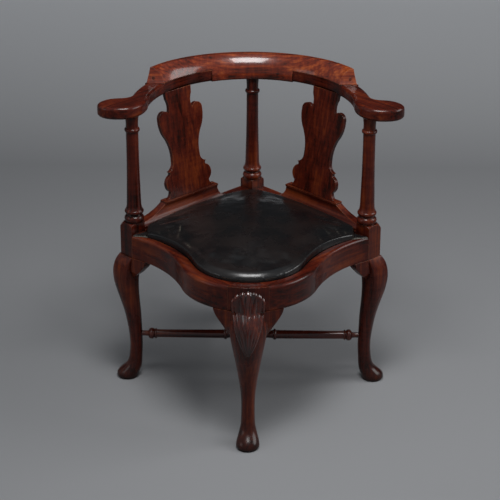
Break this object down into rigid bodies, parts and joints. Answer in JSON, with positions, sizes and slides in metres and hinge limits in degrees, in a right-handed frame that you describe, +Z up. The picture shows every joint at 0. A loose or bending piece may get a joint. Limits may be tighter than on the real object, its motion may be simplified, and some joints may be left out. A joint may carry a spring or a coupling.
{
  "type": "corner chair",
  "caption": "Low corner chair with a serpentine seat, cabriole legs, turned columns, vase splats, a round arm and crest rail and a lift-out leather seat.",
  "frame": {"origin": "on the floor under the middle of the square of posts, which is also the middle of the outer box", "axes": "+Z up; +Y from the front leg to the back leg; +X to the right as the viewer faces the front leg"},
  "size_m": [0.72, 0.729, 0.7621],
  "materials": {
    "mahogany": "French polished, semi-gloss",
    "beech": "planed, unfinished",
    "pine": "sawn, unfinished",
    "black_leather": "waxed, satin gloss, finely cracked",
    "horsehair": "curled hair",
    "jute_webbing": "plain woven",
    "hessian": "loose plain weave",
    "iron_tack": "blued",
    "iron_screw": "turned, dull"
  },
  "bodies": {
    "frame": {"back_corner_block": "pine", "back_left_rail": "mahogany", "back_leg": "mahogany", "back_leg_left_bracket": "mahogany", "back_leg_right_bracket": "mahogany", "back_right_rail": "mahogany", "corner_block_screws": "iron_screw", "crest_end_plugs": "mahogany", "crest_rail": "mahogany", "crest_screws": "iron_screw", "front_corner_block": "pine", "front_left_rail": "mahogany", "front_leg": "mahogany", "front_leg_left_bracket": "mahogany", "front_leg_right_bracket": "mahogany", "front_right_rail": "mahogany", "front_to_back_stretcher": "mahogany", "left_arm": "mahogany", "left_corner_block": "pine", "left_leg": "mahogany", "left_leg_back_bracket": "mahogany", "left_leg_front_bracket": "mahogany", "left_shoe": "mahogany", "left_splat": "mahogany", "right_arm": "mahogany", "right_corner_block": "pine", "right_leg": "mahogany", "right_leg_back_bracket": "mahogany", "right_leg_front_bracket": "mahogany", "right_shoe": "mahogany", "right_splat": "mahogany", "side_to_side_stretcher": "mahogany"},
    "slip_seat": {"seat_frame_back_left": "beech", "seat_frame_back_right": "beech", "seat_frame_front_left": "beech", "seat_frame_front_right": "beech", "seat_hessian": "hessian", "seat_leather": "black_leather", "seat_stuffing": "horsehair", "seat_tacks": "iron_tack", "seat_webbing": "jute_webbing"}
  },
  "joints": [
    {"name": "seat_lift", "type": "slide", "parent": "frame", "child": "slip_seat", "axis": [0, 0, 1], "range_m": [0, 0.11]}
  ]
}
